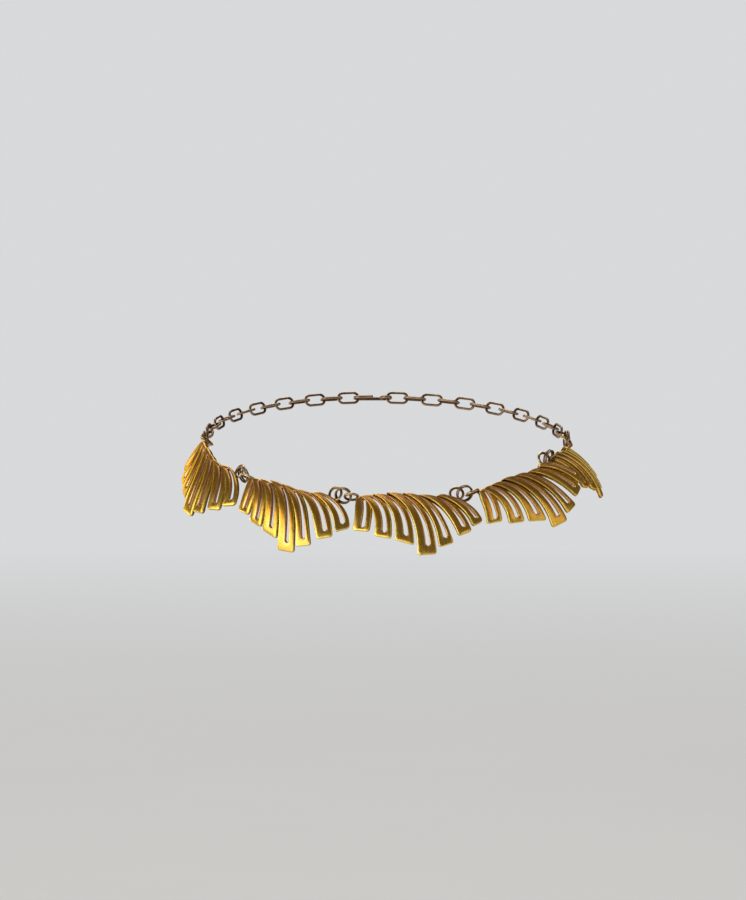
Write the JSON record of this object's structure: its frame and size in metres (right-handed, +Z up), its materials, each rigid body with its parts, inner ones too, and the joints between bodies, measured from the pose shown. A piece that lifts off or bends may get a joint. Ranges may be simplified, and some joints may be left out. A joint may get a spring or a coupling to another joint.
{
  "type": "collar choker necklace",
  "caption": "Close-fitting collar necklace of cast fan panels with slotted, swept fingers, joined by double jump rings and closed behind by a plain chain and hook.",
  "frame": {"origin": "middle of the neck loop, on the neck's axis, level with the middle of the worn loop's height", "axes": "+Z up the neck, -Y out through the front of the collar, +X to the right as the front is seen"},
  "size_m": [0.1443, 0.1359, 0.0485],
  "materials": {
    "gold_plate": "satin gold plate, brushed along the fingers, worn brighter at the edges and tips",
    "aged_bronze": "darker aged gold-tone wire, slightly tarnished"
  },
  "bodies": {
    "root": {"panel_1": "gold_plate", "panel_2": "gold_plate", "panel_3": "gold_plate", "panel_4": "gold_plate", "panel_5": "gold_plate", "ring_0a": "aged_bronze", "ring_0b": "aged_bronze", "ring_1a": "aged_bronze", "ring_1b": "aged_bronze", "ring_2a": "aged_bronze", "ring_2b": "aged_bronze", "ring_3a": "aged_bronze", "ring_3b": "aged_bronze", "ring_4a": "aged_bronze", "ring_4b": "aged_bronze", "ring_5a": "aged_bronze", "ring_5b": "aged_bronze", "link_left_01": "aged_bronze", "link_left_02": "aged_bronze", "link_left_03": "aged_bronze", "link_left_04": "aged_bronze", "link_left_05": "aged_bronze", "link_left_06": "aged_bronze", "link_left_07": "aged_bronze", "link_left_08": "aged_bronze", "link_left_09": "aged_bronze", "link_left_10": "aged_bronze", "link_left_11": "aged_bronze", "link_left_12": "aged_bronze", "link_left_13": "aged_bronze", "link_left_14": "aged_bronze", "link_right_01": "aged_bronze", "link_right_02": "aged_bronze", "link_right_03": "aged_bronze", "link_right_04": "aged_bronze", "link_right_05": "aged_bronze", "link_right_06": "aged_bronze", "link_right_07": "aged_bronze", "link_right_08": "aged_bronze", "link_right_09": "aged_bronze", "link_right_10": "aged_bronze", "link_right_11": "aged_bronze", "link_right_12": "aged_bronze", "link_right_13": "aged_bronze", "link_right_14": "aged_bronze", "clasp_hook": "aged_bronze"}
  },
  "joints": []
}
